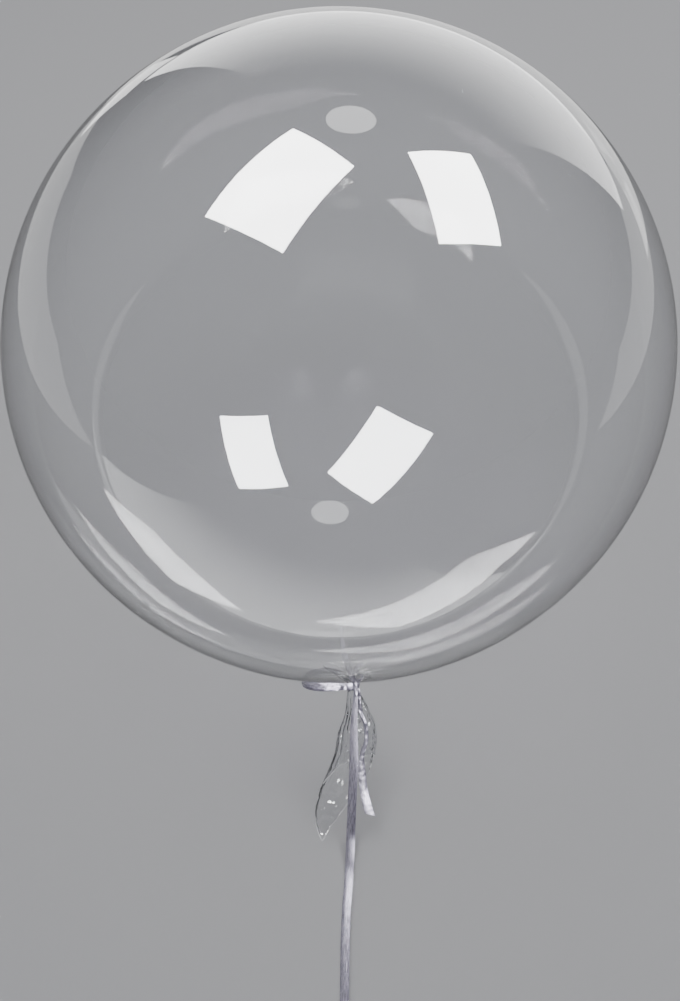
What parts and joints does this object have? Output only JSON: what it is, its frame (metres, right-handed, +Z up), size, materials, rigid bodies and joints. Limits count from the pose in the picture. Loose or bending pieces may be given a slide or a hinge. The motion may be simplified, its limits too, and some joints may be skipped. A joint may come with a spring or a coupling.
{
  "type": "clear bubble balloon",
  "caption": "Round clear film bubble balloon with a gathered neck, a crumpled film tail and a tied flat ribbon with a bow loop, lying on its side.",
  "frame": {"origin": "middle of the small flat foot that the bubble lies on, on the ground", "axes": "+Z up, the tied neck points towards -Y and down, +X to the right when seen from the neck's side"},
  "size_m": [0.45, 0.6918, 0.448],
  "materials": {
    "clear_film": "clear glossy stretch film, faintly hazy",
    "satin_ribbon": "pearly silver-lilac curling ribbon with fine lengthwise lines"
  },
  "bodies": {
    "root": {"balloon_film": "clear_film", "ribbon_bow": "satin_ribbon", "ribbon_short_end": "satin_ribbon", "ribbon_lead": "satin_ribbon", "ribbon_coil": "satin_ribbon"}
  },
  "joints": []
}
